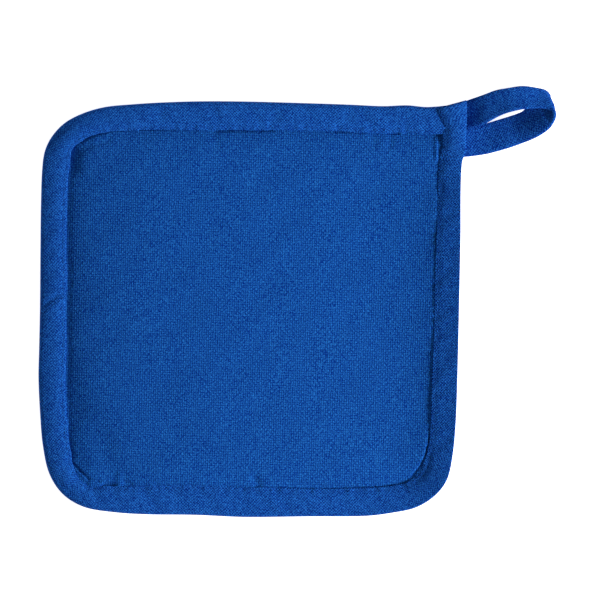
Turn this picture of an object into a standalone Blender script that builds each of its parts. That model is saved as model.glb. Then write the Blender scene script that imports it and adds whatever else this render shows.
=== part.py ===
# Square cloth pot holder with a bound edge and a hanging loop, lying face up.
#
# Metres, +Z up. The table is at z = 0 and the origin lies on it, in the middle of
# the whole outline, with the loop towards +X and the edge it is sewn beside at +Y.
# Four sewn pieces, each a closed solid: the filled pad, two lengths of bias tape
# folded round its edge, and the strap of the loop. Tables are in millimetres.

import math
from collections import namedtuple

import bpy
import numpy as np

MM = 0.001

# Cloth
TAPE_THICKNESS = 1.0       # one flap of the folded tape, two plies
SEWN_GAP = 0.3             # left between pieces that are sewn together
STRAP_THICKNESS = 1.8      # the tape folded in half again, four plies
STRAP_ARCH = 0.5           # how far the strap's middle stands above its edges

# Pad
PAD_CENTRE = (-22.5, -4.0)
PAD_HALF_SIZE = 86.0       # from the middle to the flat of the panel
MIDDLE_HEIGHT = 8.6
MARGIN_HEIGHT = 7.2        # of the panel just inside the binding
UNDERSIDE_RISE = 4.0       # run over which the underside lifts to the tape
SEAM_LEDGE = 0.5           # level run beside the tape's sewn edges, above and below
CORNER_ROUNDING = 3.0      # of the pad's square corner
PAD_TRIM = 0.2             # the pad's edge stops this much short of the tape's fold

# Binding
JOIN_SLANT = 0.77          # the join runs this far along the tape for each mm across
JOIN_FADE = 24.0
END_SLANT = 0.24           # the folded end reaches furthest at the fold
END_FADE = 16.0
CORNER_DROP = 2.1          # the side tape's end stands this far above the top edge
TOP_TAPE_INSET = 4.4       # the top tape stops this far short of the right edge

# Meshing
SECTION_SPACING = 12.0
SECTION_TURN = math.radians(11.0)
SECTION_CHANGE = 1.0
STATION_CLEAR = 1.5        # sections nearer than this to a tape's end are left out
STRAP_SPACING = 3.2

# Outer edge of the binding, from the square corner anticlockwise back to it.
Place = namedtuple("Place", "name x y")
EDGE = (
    Place("square corner", 80.5, 93.5),
    Place("under the crossing", 72.4, 93.2),
    Place("beside the crossing", 66.2, 92.6),
    Place("dip in the top", 61.0, 92.4),
    Place("bump in the top", 52.4, 93.2),
    Place("top, right", 41.0, 92.8),
    Place("top, right of middle", 25.2, 93.5),
    Place("top, middle", 1.4, 94.3),
    Place("top, left of middle", -24.8, 95.0),
    Place("top, left", -46.2, 95.1),
    Place("top, far left", -65.2, 94.5),
    Place("top left corner, start", -79.5, 93.6),
    Place("top left corner, entry", -91.4, 92.4),
    Place("top left corner, upper", -101.4, 89.6),
    Place("top left corner", -110.2, 85.1),
    Place("top left corner, lower", -116.4, 78.8),
    Place("top left corner, exit", -120.0, 71.7),
    Place("top left corner, end", -121.3, 63.3),
    Place("left, upper", -121.9, 48.1),
    Place("left, above the join", -122.2, 24.3),
    Place("tape join", -122.4, -2.4),
    Place("left, below the join", -122.8, -22.4),
    Place("left, lower", -123.1, -36.7),
    Place("bottom left corner, start", -122.3, -54.3),
    Place("bottom left corner, entry", -121.0, -69.0),
    Place("bottom left corner, upper", -117.9, -82.4),
    Place("bottom left corner", -111.4, -92.1),
    Place("bottom left corner, lower", -101.4, -98.1),
    Place("bottom left corner, exit", -88.1, -100.5),
    Place("bottom, far left", -72.4, -101.6),
    Place("bottom, left", -48.6, -101.9),
    Place("bottom, middle", -24.8, -102.9),
    Place("bottom, right", 6.2, -102.6),
    Place("bottom right corner, start", 32.4, -102.4),
    Place("bottom right corner, entry", 45.2, -100.9),
    Place("bottom right corner, lower", 56.5, -98.4),
    Place("bottom right corner", 65.5, -92.9),
    Place("bottom right corner, upper", 71.5, -85.0),
    Place("bottom right corner, exit", 74.3, -72.4),
    Place("right, lower", 75.7, -56.7),
    Place("right, below middle", 76.5, -33.8),
    Place("right, middle", 77.3, 0.5),
    Place("right, above middle", 77.9, 31.4),
    Place("right, upper", 78.0, 52.9),
    Place("below the loop", 78.6, 65.7),
    Place("beside the loop", 80.2, 71.4),
    Place("foot of the crossing", 80.5, 78.1),
    Place("crossing", 80.8, 88.6),
    Place("end of the side tape", 80.7, 95.6),
)

# Cross-sections of the bound edge. width: how far the tape reaches in over the pad.
# under_ and top_: heights of the tape's two sides, at its fold and at its sewn
# edges. roll: how far the upper flap bulges. nose: how high in the fold its
# outermost line lies, as a share. tucked: cloth folded in between the tape and the
# pad. rise: run over which the panel swells up inside the seam.
Section = namedtuple("Section", "place width under_fold under_seam top_fold top_seam "
                                "roll nose tucked rise")
SECTIONS = (
    Section("square corner",             13.3, 3.5, 3.5, 8.3, 8.3, 0.0, 0.50, 0.1, 4.0),
    Section("under the crossing",        13.3, 3.5, 3.5, 8.2, 8.2, 0.1, 0.50, 0.1, 4.0),
    Section("beside the crossing",       13.3, 3.5, 3.5, 7.5, 7.5, 0.2, 0.50, 0.1, 4.0),
    Section("dip in the top",            13.3, 2.4, 2.0, 6.4, 6.0, 0.4, 0.50, 0.1, 5.0),
    Section("bump in the top",           13.0, 1.0, 0.4, 5.4, 4.8, 0.8, 0.50, 0.0, 6.0),
    Section("top, right of middle",      12.8, 0.3, 0.0, 5.0, 4.4, 1.0, 0.50, 0.0, 6.0),
    Section("top, left of middle",       13.6, 0.2, 0.0, 5.0, 4.4, 1.0, 0.50, 0.0, 6.0),
    Section("top left corner",           12.0, 0.2, 0.0, 5.2, 4.4, 1.2, 0.50, 0.0, 8.0),
    Section("left, upper",               12.9, 0.0, 0.0, 4.9, 4.2, 1.3, 0.50, 0.0, 10.0),
    Section("tape join",                 12.8, 0.0, 0.0, 5.0, 4.2, 1.3, 0.50, 0.0, 10.0),
    Section("bottom left corner, start", 13.5, 0.0, 0.0, 4.9, 4.2, 1.3, 0.50, 0.0, 10.0),
    Section("bottom left corner",        12.2, 0.2, 0.0, 5.2, 4.4, 1.2, 0.50, 0.0, 8.0),
    Section("bottom, left",              14.2, 0.3, 0.0, 5.0, 4.4, 0.9, 0.50, 0.0, 5.0),
    Section("bottom, middle",            14.2, 0.3, 0.0, 5.0, 4.4, 0.9, 0.50, 0.0, 5.0),
    Section("bottom right corner",       13.0, 1.0, 0.0, 5.8, 4.4, 0.7, 0.60, 0.0, 4.0),
    Section("right, lower",              11.7, 2.3, 0.0, 7.3, 4.9, 0.3, 0.72, 0.0, 2.6),
    Section("right, middle",             11.4, 2.6, 0.0, 7.7, 5.2, 0.3, 0.74, 0.0, 2.4),
    Section("right, upper",              10.9, 2.6, 0.8, 7.8, 5.4, 0.3, 0.72, 0.0, 2.4),
    Section("below the loop",            10.9, 2.5, 2.2, 7.8, 6.2, 0.3, 0.65, 0.0, 2.8),
    Section("beside the loop",           11.2, 2.3, 2.2, 8.2, 6.8, 0.4, 0.58, 0.3, 3.4),
    Section("foot of the crossing",      11.6, 2.2, 2.2, 9.8, 9.3, 0.2, 0.50, 1.7, 4.0),
    Section("crossing",                  12.6, 2.2, 2.2, 9.8, 9.3, 0.2, 0.50, 1.7, 4.0),
    Section("end of the side tape",      13.2, 2.2, 2.2, 9.8, 9.2, 0.2, 0.50, 1.7, 4.0),
)

# The strap, from its upper sewn end out, over the bend and back: the middle of its
# thickness at its far edge and at its near edge.
StrapRow = namedtuple("StrapRow", "far_x far_y far_z near_x near_y near_z")
STRAP = (
    StrapRow(71.4, 95.2, 0.9, 71.4, 82.8, 0.9),      # upper sewn end
    StrapRow(79.6, 95.4, 0.9, 79.6, 82.8, 0.9),      # comes out from under the tape
    StrapRow(84.3, 96.5, 2.2, 85.0, 83.8, 3.2),
    StrapRow(88.6, 98.0, 3.7, 90.0, 85.6, 6.4),
    StrapRow(94.8, 100.3, 4.9, 96.2, 88.8, 10.0),
    StrapRow(101.0, 101.4, 5.6, 102.1, 90.8, 12.6),
    StrapRow(107.1, 102.2, 5.6, 108.3, 91.7, 13.4),
    StrapRow(112.9, 101.6, 5.2, 113.8, 91.8, 13.4),
    StrapRow(117.4, 100.5, 4.2, 118.8, 91.4, 12.6),
    StrapRow(119.1, 99.3, 3.2, 121.5, 90.3, 11.6),
    StrapRow(119.4, 98.1, 2.1, 122.7, 88.5, 10.2),   # outermost line of the bend
    StrapRow(117.8, 96.6, 1.1, 122.2, 85.6, 7.9),
    StrapRow(114.6, 94.6, 0.9, 120.3, 82.6, 5.2),
    StrapRow(111.0, 92.4, 0.9, 117.1, 80.1, 2.8),
    StrapRow(106.7, 90.2, 0.9, 112.2, 77.3, 1.3),
    StrapRow(101.9, 88.7, 0.9, 106.4, 75.0, 0.9),
    StrapRow(96.7, 87.1, 0.9, 100.7, 73.0, 0.9),
    StrapRow(91.7, 85.2, 0.9, 94.8, 71.3, 0.9),
    StrapRow(86.7, 83.3, 0.9, 89.3, 70.0, 0.9),
    StrapRow(79.6, 82.0, 0.9, 80.0, 68.8, 0.9),      # goes back under the tape
    StrapRow(71.4, 81.9, 0.9, 71.4, 68.8, 0.9),      # lower sewn end
)

# Points across a section of the tape: shares of the flaps, angles in the fold.
UPPER_FLAP = (1.0, 0.72, 0.45, 0.2, 0.0)
FOLD_ANGLES = tuple(math.radians(a) for a in (50.0, 0.0, -50.0))
LOWER_FLAP = (0.0, 0.5, 1.0)

# Points across the strap: share of the half-width, share of the half-thickness.
STRAP_ACROSS = ((1.0, 0.0), (0.94, 0.85), (0.5, 1.0), (0.0, 1.0), (-0.5, 1.0), (-0.94, 0.85),
                (-1.0, 0.0), (-0.94, -0.85), (-0.5, -1.0), (0.0, -1.0), (0.5, -1.0), (0.94, -0.85))

# Finishes, as linear colours
PANEL_BLUE = (0.0065, 0.064, 0.33, 1.0)
TAPE_BLUE = (0.0060, 0.060, 0.31, 1.0)


def ease(share):
    """Smooth step from 0 to 1."""
    share = np.clip(share, 0.0, 1.0)
    return share * share * (3.0 - 2.0 * share)


def chord_lengths(points):
    steps = np.linalg.norm(np.diff(points, axis=0), axis=1)
    return np.concatenate(([0.0], np.cumsum(steps)))


def smooth_curve(points, knots, where):
    """Cubic curve through points, read at the given lengths, and its direction."""
    points = np.asarray(points, float)
    slopes = np.empty_like(points)
    slopes[1:-1] = (points[2:] - points[:-2]) / (knots[2:] - knots[:-2])[:, None]
    slopes[0] = (points[1] - points[0]) / (knots[1] - knots[0])
    slopes[-1] = (points[-1] - points[-2]) / (knots[-1] - knots[-2])
    where = np.atleast_1d(where)
    span = np.clip(np.searchsorted(knots, where, side="right") - 1, 0, len(knots) - 2)
    run = (knots[span + 1] - knots[span])[:, None]
    t = ((where - knots[span])[:, None]) / run
    start, end = points[span], points[span + 1]
    start_slope, end_slope = slopes[span] * run, slopes[span + 1] * run
    place = ((2 * t**3 - 3 * t**2 + 1) * start + (t**3 - 2 * t**2 + t) * start_slope
             + (3 * t**2 - 2 * t**3) * end + (t**3 - t**2) * end_slope)
    direction = ((6 * t**2 - 6 * t) * (start - end) + (3 * t**2 - 4 * t + 1) * start_slope
                 + (3 * t**2 - 2 * t) * end_slope) / run
    return place, direction


EDGE_POINTS = np.array([(p.x, p.y) for p in EDGE])
EDGE_KNOTS = chord_lengths(EDGE_POINTS)
LENGTH = EDGE_KNOTS[-1]
ALONG = {p.name: s for p, s in zip(EDGE, EDGE_KNOTS)}
JOIN = ALONG["tape join"]
SECTION_KNOTS = np.array([ALONG[row.place] for row in SECTIONS])
SECTION_VALUES = np.array([row[1:] for row in SECTIONS])


def section_at(along):
    """The cross-section's values at a length along the edge."""
    values, _ = smooth_curve(SECTION_VALUES, SECTION_KNOTS, np.clip(along, 0.0, LENGTH))
    return Section("", *np.maximum(values[0], 0.0))


def edge_point(along, inset):
    """Plan position at a length along the edge and a distance in from it."""
    place, direction = smooth_curve(EDGE_POINTS, EDGE_KNOTS, along)
    tangent = direction[0] / np.linalg.norm(direction[0])
    inward = np.array((-tangent[1], tangent[0]))
    return place[0] + inset * inward


def edge_stations():
    """Lengths at which sections are set: closer where the edge turns or changes height."""
    fine = np.linspace(0.0, LENGTH, 1500)
    _, direction = smooth_curve(EDGE_POINTS, EDGE_KNOTS, fine)
    heading = np.unwrap(np.arctan2(direction[:, 1], direction[:, 0]))
    heights = np.array([section_at(s)[2:6] for s in fine])
    change = np.abs(np.diff(heights, axis=0)).sum(axis=1)
    cost = (np.diff(fine) / SECTION_SPACING + np.abs(np.diff(heading)) / SECTION_TURN
            + change / SECTION_CHANGE)
    total = np.concatenate(([0.0], np.cumsum(cost)))
    return np.interp(np.linspace(0.0, total[-1], math.ceil(total[-1]) + 1), total, fine)


def upper_height(row, inset):
    """Upper side of the tape, away from the roundness of its fold."""
    share = inset / row.width
    bulge = 4.0 * row.roll * share * (1.0 - share)
    return row.top_fold + (row.top_seam - row.top_fold) * share + bulge


def lower_height(row, inset):
    return row.under_fold + (row.under_seam - row.under_fold) * inset / row.width


def folded_section(row, shrink):
    """Points (inset, height) round the folded edge, shrink mm inside the tape's skin."""
    reach = 0.5 * (row.top_fold - row.under_fold)      # how deep the fold's roundness is
    top = upper_height(row, reach) - shrink
    bottom = lower_height(row, reach) + shrink
    nose = row.under_fold + row.nose * (row.top_fold - row.under_fold)
    nose = min(max(nose, bottom + 0.2), top - 0.2)
    points = []
    for share in UPPER_FLAP:
        inset = reach + (row.width - reach) * share
        points.append((inset, upper_height(row, inset) - shrink))
    for angle in FOLD_ANGLES:
        half = top - nose if angle > 0.0 else nose - bottom
        points.append((reach - (reach - shrink) * math.cos(angle), nose + half * math.sin(angle)))
    for share in LOWER_FLAP:
        inset = reach + (row.width - reach) * share
        points.append((inset, lower_height(row, inset) + shrink))
    return points


def slanted(along, across):
    """Shift along the tape, for the slanting join and the slanting folded end."""
    near_join = 1.0 - ease(abs(along - JOIN) / JOIN_FADE)
    near_end = 1.0 - ease((LENGTH - along) / END_FADE)
    return along - JOIN_SLANT * across * near_join - END_SLANT * abs(across) * near_end


def tape_loops(stations):
    """One closed loop of points for each section of a length of tape."""
    count = len(UPPER_FLAP) + len(FOLD_ANGLES) + len(LOWER_FLAP)
    middle = len(UPPER_FLAP) + len(FOLD_ANGLES) // 2
    loops = []
    for along in stations:
        skin = folded_section(section_at(along), 0.0)
        loop = []
        for shrink, order in ((0.0, range(count)), (TAPE_THICKNESS, reversed(range(count)))):
            for i in order:
                across = skin[i][0] * (1.0 if i < middle else -1.0) if i != middle else 0.0
                there = slanted(along, across)
                inset, height = folded_section(section_at(there), shrink)[i]
                x, y = edge_point(there, inset)
                loop.append((x, y, height))
        loops.append(loop)
    return loops


def pad_height(x, y):
    """Crowned top of the pad."""
    across = np.clip(abs(x - PAD_CENTRE[0]) / PAD_HALF_SIZE, 0.0, 1.0)
    along = np.clip(abs(y - PAD_CENTRE[1]) / PAD_HALF_SIZE, 0.0, 1.0)
    crown = (1.0 - across**2.4) * (1.0 - along**2.4)
    return MARGIN_HEIGHT + (MIDDLE_HEIGHT - MARGIN_HEIGHT) * crown


def pad_profile(along):
    """Points (inset, height) of the pad from its flat underside round to its top.

    A height of None stands for the crowned top.
    """
    row = section_at(along)
    shrink = TAPE_THICKNESS + SEWN_GAP + row.tucked
    edge = folded_section(row, shrink)
    upper = edge[:len(UPPER_FLAP):2]
    fold = edge[len(UPPER_FLAP):-len(LOWER_FLAP)]
    lower = edge[-len(LOWER_FLAP):]
    fold = [(inset - row.tucked + PAD_TRIM, height) for inset, height in fold]
    seam_height = upper[0][1]
    ledge = row.width + SEAM_LEDGE
    profile = [(row.width + UNDERSIDE_RISE, 0.0), (ledge, lower[-1][1])]
    profile += list(reversed(lower)) + list(reversed(fold)) + list(reversed(upper))
    for share in (0.0, 0.3, 0.62, 1.0):
        profile.append((ledge + row.rise * share, (seam_height, share)))
    return profile


def pad_columns():
    """Columns of the pad's profile round its edge, closed round the square corner."""
    stations = edge_stations()
    last = LENGTH - CORNER_DROP
    ends = 40.0                      # length over which columns shift to meet the corner
    columns = []
    for along in stations:
        column = []
        for index, (inset, _) in enumerate(pad_profile(along)):
            there = along
            for _ in range(3):       # the profile there shifts the place a little again
                trim = inset + CORNER_ROUNDING
                if along < ends:
                    there = trim + along * (ends - trim) / ends
                if along > LENGTH - ends:
                    back = (LENGTH - along) / ends
                    there = last - trim - (ends - CORNER_DROP - trim) * back
                inset = pad_profile(there)[index][0]
            column.append((there, inset))
        columns.append(column)
    return columns


def pad_point(along, inset, index):
    """A pad vertex at a length along the edge, for one point of the profile."""
    _, height = pad_profile(along)[index]
    x, y = edge_point(along, inset)
    if isinstance(height, tuple):
        seam_height, share = height
        height = seam_height + (pad_height(x, y) - seam_height) * ease(share) ** 0.8
    return np.array((x, y, height))


def pad_rings():
    """Rings of the pad, from the edge of its flat underside out, up and in again."""
    columns = pad_columns()
    rings = []
    for index in range(len(columns[0])):
        ring = [pad_point(along, inset, index) for along, inset in (c[index] for c in columns)]
        first, last = ring[0], ring[-1]
        turn = np.array((last[0], first[1], 0.5 * (first[2] + last[2])))
        for share in (0.25, 0.5, 0.75):
            ring.append((1 - share)**2 * last + 2 * share * (1 - share) * turn + share**2 * first)
        rings.append(ring)
    centre = np.array(PAD_CENTRE)
    outer = rings[-1]
    for share in (0.85, 0.62, 0.36, 0.14):
        ring = []
        for point in outer:
            x, y = centre + (point[:2] - centre) * share
            ring.append(np.array((x, y, pad_height(x, y))))
        rings.append(ring)
    return rings


def strap_loops():
    """Sections of the strap along its length."""
    rows = np.array(STRAP)
    knots = chord_lengths(0.5 * (rows[:, :3] + rows[:, 3:]))
    where = np.linspace(0.0, knots[-1], math.ceil(knots[-1] / STRAP_SPACING) + 1)
    edges, direction = smooth_curve(rows, knots, where)
    loops = []
    for far, near, run in zip(edges[:, :3], edges[:, 3:], direction[:, :3] + direction[:, 3:]):
        half = 0.5 * (near - far)
        outward = np.cross(half, -run)
        outward /= np.linalg.norm(outward)
        flat = 1.0 - ease(abs(outward[2]) * 4.0 - 3.0)       # no arch where it lies flat
        loop = []
        for across, through in STRAP_ACROSS:
            lift = STRAP_ARCH * flat * (1.0 - across * across)
            point = (0.5 * (far + near) + across * half
                     + outward * (0.5 * STRAP_THICKNESS * through + lift))
            loop.append((point[0], point[1], max(point[2], 0.0)))     # flat on the table
        loops.append(loop)
    return loops


def cloth(name, colour, roughness):
    material = bpy.data.materials.new(name)
    material.use_nodes = True
    shader = material.node_tree.nodes["Principled BSDF"]
    shader.inputs["Base Color"].default_value = colour
    shader.inputs["Roughness"].default_value = roughness
    shader.inputs["Metallic"].default_value = 0.0
    return material


def folded_end(size, first):
    """Faces that close the end of a strip, across its thickness from skin to skin."""
    return [(first + i, first + i + 1, first + size - 2 - i, first + size - 1 - i)
            for i in range(size // 2 - 1)]


def crowned_end(size, first):
    """Faces that draw a ring together to the point that follows it."""
    return [(first + i, first + (i + 1) % size, first + size) for i in range(size)]


def solid(name, loops, start, end, material):
    """Closed body skinned over loops of points, with the faces of its two ends."""
    size = len(loops[0])
    points = [tuple(MM * c for c in point) for loop in loops for point in loop]
    faces = [tuple(reversed(face)) for face in start] + end
    for i in range(len(points) // size - 1):
        for j in range(size):
            k = (j + 1) % size
            faces.append((i * size + j, i * size + k, (i + 1) * size + k, (i + 1) * size + j))
    mesh = bpy.data.meshes.new(name)
    mesh.from_pydata(points, [], faces)
    mesh.validate()
    mesh.shade_smooth()
    mesh.set_sharp_from_angle(angle=math.radians(50.0))
    mesh.materials.append(material)
    piece = bpy.data.objects.new(name, mesh)
    bpy.context.scene.collection.objects.link(piece)
    return piece


def strip(name, loops, material):
    """A length of tape: skinned sections, each a skin out and a skin back."""
    size = len(loops[0])
    return solid(name, loops, folded_end(size, 0), folded_end(size, size * (len(loops) - 1)),
                 material)


def clear_scene():
    for thing in list(bpy.data.objects):
        bpy.data.objects.remove(thing)


def main():
    clear_scene()
    panel = cloth("panel_cotton", PANEL_BLUE, 0.9)
    tape = cloth("bias_tape_cotton", TAPE_BLUE, 0.9)
    rings = pad_rings()
    size = len(rings[0])
    rings.append([(*PAD_CENTRE, MIDDLE_HEIGHT)])
    solid("pad", rings, [tuple(range(size))], crowned_end(size, (len(rings) - 2) * size), panel)
    stations = edge_stations()
    half_gap = 0.7 * SEWN_GAP        # along the edge, as the join slants
    for name, first, last in (("top_tape", TOP_TAPE_INSET, JOIN - half_gap),
                              ("side_tape", JOIN + half_gap, LENGTH)):
        inner = [s for s in stations if first + STATION_CLEAR < s < last - STATION_CLEAR]
        strip(name, tape_loops([first] + inner + [last]), tape)
    strip("hanging_loop", strap_loops(), tape)


main()
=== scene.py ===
# Square pot holder in royal blue cotton, edge bound in bias tape, with a strap loop to hang it by.
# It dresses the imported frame: the filled pad, the two lengths of tape and the strap are remade as
# finer cloth in the same places, then sewn. Sizes are in millimetres, the meshes in metres.

import math
from collections import namedtuple
from functools import partial

import bmesh
import bpy
import numpy as np
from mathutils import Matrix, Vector


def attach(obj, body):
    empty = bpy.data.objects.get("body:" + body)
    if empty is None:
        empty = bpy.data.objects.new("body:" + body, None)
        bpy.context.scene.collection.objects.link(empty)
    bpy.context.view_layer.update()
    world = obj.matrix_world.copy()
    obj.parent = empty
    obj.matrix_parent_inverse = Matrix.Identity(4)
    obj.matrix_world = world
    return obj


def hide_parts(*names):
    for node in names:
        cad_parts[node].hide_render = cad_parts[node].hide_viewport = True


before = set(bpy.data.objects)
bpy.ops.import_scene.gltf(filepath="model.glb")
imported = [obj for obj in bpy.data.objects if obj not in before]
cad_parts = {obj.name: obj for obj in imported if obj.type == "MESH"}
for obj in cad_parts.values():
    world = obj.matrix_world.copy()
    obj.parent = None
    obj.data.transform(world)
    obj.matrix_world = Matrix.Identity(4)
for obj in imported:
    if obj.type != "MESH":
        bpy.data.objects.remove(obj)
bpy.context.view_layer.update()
scene = bpy.context.scene
mm = 0.001
print("frame loaded:", ", ".join(sorted(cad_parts)))


# the line of the bound edge, from the square corner anticlockwise back to it

edgePlaces = [  # place, x, y
    ("square corner", 80.5, 93.5),
    ("under the crossing", 72.4, 93.2),
    ("beside the crossing", 66.2, 92.6),
    ("dip in the top", 61, 92.4),
    ("bump in the top", 52.4, 93.2),
    ("top, right", 41, 92.8),
    ("top, right of middle", 25.2, 93.5),
    ("top, middle", 1.4, 94.3),
    ("top, left of middle", -24.8, 95),
    ("top, left", -46.2, 95.1),
    ("top, far left", -65.2, 94.5),
    ("top left corner, start", -79.5, 93.6),
    ("top left corner, entry", -91.4, 92.4),
    ("top left corner, upper", -101.4, 89.6),
    ("top left corner", -110.2, 85.1),
    ("top left corner, lower", -116.4, 78.8),
    ("top left corner, exit", -120, 71.7),
    ("top left corner, end", -121.3, 63.3),
    ("left, upper", -121.9, 48.1),
    ("left, above the join", -122.2, 24.3),
    ("tape join", -122.4, -2.4),
    ("left, below the join", -122.8, -22.4),
    ("left, lower", -123.1, -36.7),
    ("bottom left corner, start", -122.3, -54.3),
    ("bottom left corner, entry", -121, -69),
    ("bottom left corner, upper", -117.9, -82.4),
    ("bottom left corner", -111.4, -92.1),
    ("bottom left corner, lower", -101.4, -98.1),
    ("bottom left corner, exit", -88.1, -100.5),
    ("bottom, far left", -72.4, -101.6),
    ("bottom, left", -48.6, -101.9),
    ("bottom, middle", -24.8, -102.9),
    ("bottom, right", 6.2, -102.6),
    ("bottom right corner, start", 32.4, -102.4),
    ("bottom right corner, entry", 45.2, -100.9),
    ("bottom right corner, lower", 56.5, -98.4),
    ("bottom right corner", 65.5, -92.9),
    ("bottom right corner, upper", 71.5, -85),
    ("bottom right corner, exit", 74.3, -72.4),
    ("right, lower", 75.7, -56.7),
    ("right, below middle", 76.5, -33.8),
    ("right, middle", 77.3, 0.5),
    ("right, above middle", 77.9, 31.4),
    ("right, upper", 78, 52.9),
    ("below the loop", 78.6, 65.7),
    ("beside the loop", 80.2, 71.4),
    ("foot of the crossing", 80.5, 78.1),
    ("crossing", 80.8, 88.6),
    ("end of the side tape", 80.7, 95.6),
]

# Where the tape's inner edge is sewn down: mm along the outer edge, mm in from it.
seamLine = [
    (0, 13.3), (8.1, 13.3), (14.3, 13), (17.6, 12.6), (34.7, 12.4), (54.8, 12.5), (69.2, 12.7),
    (102.7, 13.3), (127, 13.6), (146.5, 13.2), (164.8, 12.6), (175.6, 11.8), (179.9, 11.5),
    (184.2, 11.2), (187.5, 11.4), (191.9, 11.7), (197.6, 11.2), (201.2, 11.3), (208.5, 12.4),
    (217.4, 12.6), (225.1, 12.2), (239.8, 12), (256.6, 12), (262.1, 12.1), (270.3, 12.4),
    (278.5, 11.9), (283.7, 11.8), (289.3, 12), (299.3, 12.7), (313.6, 12.5), (333.7, 12.1),
    (341, 12.5), (351.1, 12.4), (356.3, 12.5), (360.8, 12.1), (367.1, 11.7), (371, 11.2),
    (377.6, 10.5), (382.5, 10.2), (387.8, 10.5), (395.2, 11.8), (403.8, 12.5), (425.9, 14.2),
    (473.8, 14), (497.5, 13), (522, 13.4), (530.3, 12.8), (544.5, 12.6), (552, 13), (558.8, 13.4),
    (570.6, 13.3), (575.2, 12.5), (580.3, 12), (586.4, 11.8), (599.1, 12), (618.3, 12),
    (637.5, 11.7), (656.5, 11.8), (675.6, 11.6), (694.9, 11), (706, 10.8), (717.3, 10.9), (721, 11),
    (726.1, 11), (730.8, 10.9), (733.2, 10.5), (735.6, 11), (739.2, 12.6), (742.8, 13.5),
    (747.4, 13.9),
]

# How open the seam is, from 0 where tape and panel lie flush to 1 for a groove: mm along, share.
seamOpening = [
    (0, 0.4), (12, 0.5), (26, 0.5), (30, 0.9), (39, 0.9), (41, 0.2), (44, 0.2), (46, 0.9), (53, 0.9),
    (56, 0.3), (62, 0.1), (68, 0.35), (76, 0.1), (82, 0.35), (90, 0.1), (93, 0.8), (107, 0.9),
    (109, 0.4), (114, 0.8), (120, 0.6), (122, 0.1), (125, 0.7), (134, 0.6), (138, 0.05), (168, 0.1),
    (178, 0.9), (200, 1), (358, 1), (366, 0.15), (393, 0.1), (395, 1), (401, 1), (402, 0),
    (404, 0.6), (424, 0.5), (430, 0), (466, 0), (469, 1), (473, 1), (475, 0.3), (480, 0.7),
    (505, 0.6), (514, 0.3), (522, 0.12), (540, 0.1), (548, 0.4), (566, 0.5), (576, 0.9), (588, 1),
    (640, 1), (686, 0.8), (694, 0.05), (716, 0.1), (722, 0.9), (732, 0.9), (736, 0.2), (748, 0.1),
]

# Sections of the bound edge. under, top: heights of the tape's two flaps at the fold and at the
# seam. roll: bulge of the upper flap. nose: height of the outermost line, as a share. crisp: how
# sharp the fold is above that line. tucked: how much deeper the pad's skin lies inside the tape.
# rise: the panel's steep run up from the seam. The width comes from seamLine.
Section = namedtuple("Section", "underFold underSeam topFold topSeam roll nose crisp tucked rise width")
sectionRows = [
    ("square corner", 3.5, 3.5, 7, 7, 0, 0.5, 0, 0.1, 2.2),
    ("under the crossing", 3.5, 3.5, 6.6, 6.6, 0.1, 0.5, 0, 0.1, 2.2),
    ("beside the crossing", 3.2, 3.2, 6.1, 6.1, 0.2, 0.5, 0, 0.1, 2),
    ("dip in the top", 2.2, 1.8, 5.7, 5.8, 0.4, 0.5, 0, 0.1, 1.8),
    ("bump in the top", 1, 0.4, 5.2, 5.2, 0.7, 0.5, 0.1, 0, 1.4),
    ("top, right of middle", 0.3, 0, 5, 4.9, 0.6, 0.5, 0.1, 0, 1.3),
    ("top, left of middle", 0.2, 0, 4.8, 4.9, 0.7, 0.5, 0.1, 0, 1.3),
    ("top left corner, start", 0.2, 0, 4.7, 4.9, 0.9, 0.5, 0, 0, 1.5),
    ("top left corner", 0.2, 0, 3.9, 5.2, 1.4, 0.5, 0, 0, 3),
    ("left, upper", 0, 0, 4.3, 5.1, 1.1, 0.5, 0, 0, 3),
    ("tape join", 0, 0, 4.3, 5.1, 1.1, 0.5, 0, 0, 3),
    ("bottom left corner, start", 0, 0, 4.3, 5.1, 1.1, 0.5, 0, 0, 3),
    ("bottom left corner", 0.2, 0, 4.8, 4.9, 1.1, 0.5, 0, 0, 2.4),
    ("bottom, left", 0.3, 0, 5.1, 4.9, 0.4, 0.6, 0.4, 0, 1.3),
    ("bottom, middle", 0.3, 0, 5.1, 4.9, 0.4, 0.6, 0.4, 0, 1.3),
    ("bottom right corner, start", 0.8, 0, 6.2, 4.4, 0.3, 0.8, 0.6, 0, 1.4),
    ("bottom right corner", 2.2, 0.3, 8.9, 5.1, 0.2, 0.9, 0.88, 0, 1.4),
    ("right, lower", 3.6, 0.9, 11.6, 8.6, 0, 0.95, 0.95, 0, 1.6),
    ("right, middle", 4, 1.2, 11.9, 8.8, 0, 0.96, 0.96, 0, 1.6),
    ("right, above middle", 3.9, 1.4, 11.6, 8.8, 0, 0.96, 0.96, 0, 1.6),
    ("right, upper", 3.6, 1.6, 10, 7.4, 0, 0.95, 0.95, 0, 1.6),
    ("below the loop", 3, 2.4, 7.8, 6, 0.5, 0.92, 0.9, 0, 1.8),
    ("beside the loop", 2.6, 2.3, 7.3, 5.6, 0.7, 0.9, 0.9, 0.2, 1.4),
    ("foot of the crossing", 2.2, 2.2, 7.4, 5.9, 0.8, 0.88, 0.9, 0.6, 1.4),
    ("crossing", 2.2, 2.2, 8.2, 7.2, 0.9, 0.88, 0.9, 0.7, 2.4),
    ("end of the side tape", 2.2, 2.2, 8.1, 7.2, 0.9, 0.88, 0.9, 0.7, 2.4),
]
handSewing = {"sway": 0.09, "swayLengths": (13.0, 8.3, 5.1, 3.7)}    # the seam isn't quite straight


def chordLengths(points):
    steps = np.linalg.norm(np.diff(points, axis=0), axis=1)
    return np.concatenate(([0.0], np.cumsum(steps)))


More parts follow.
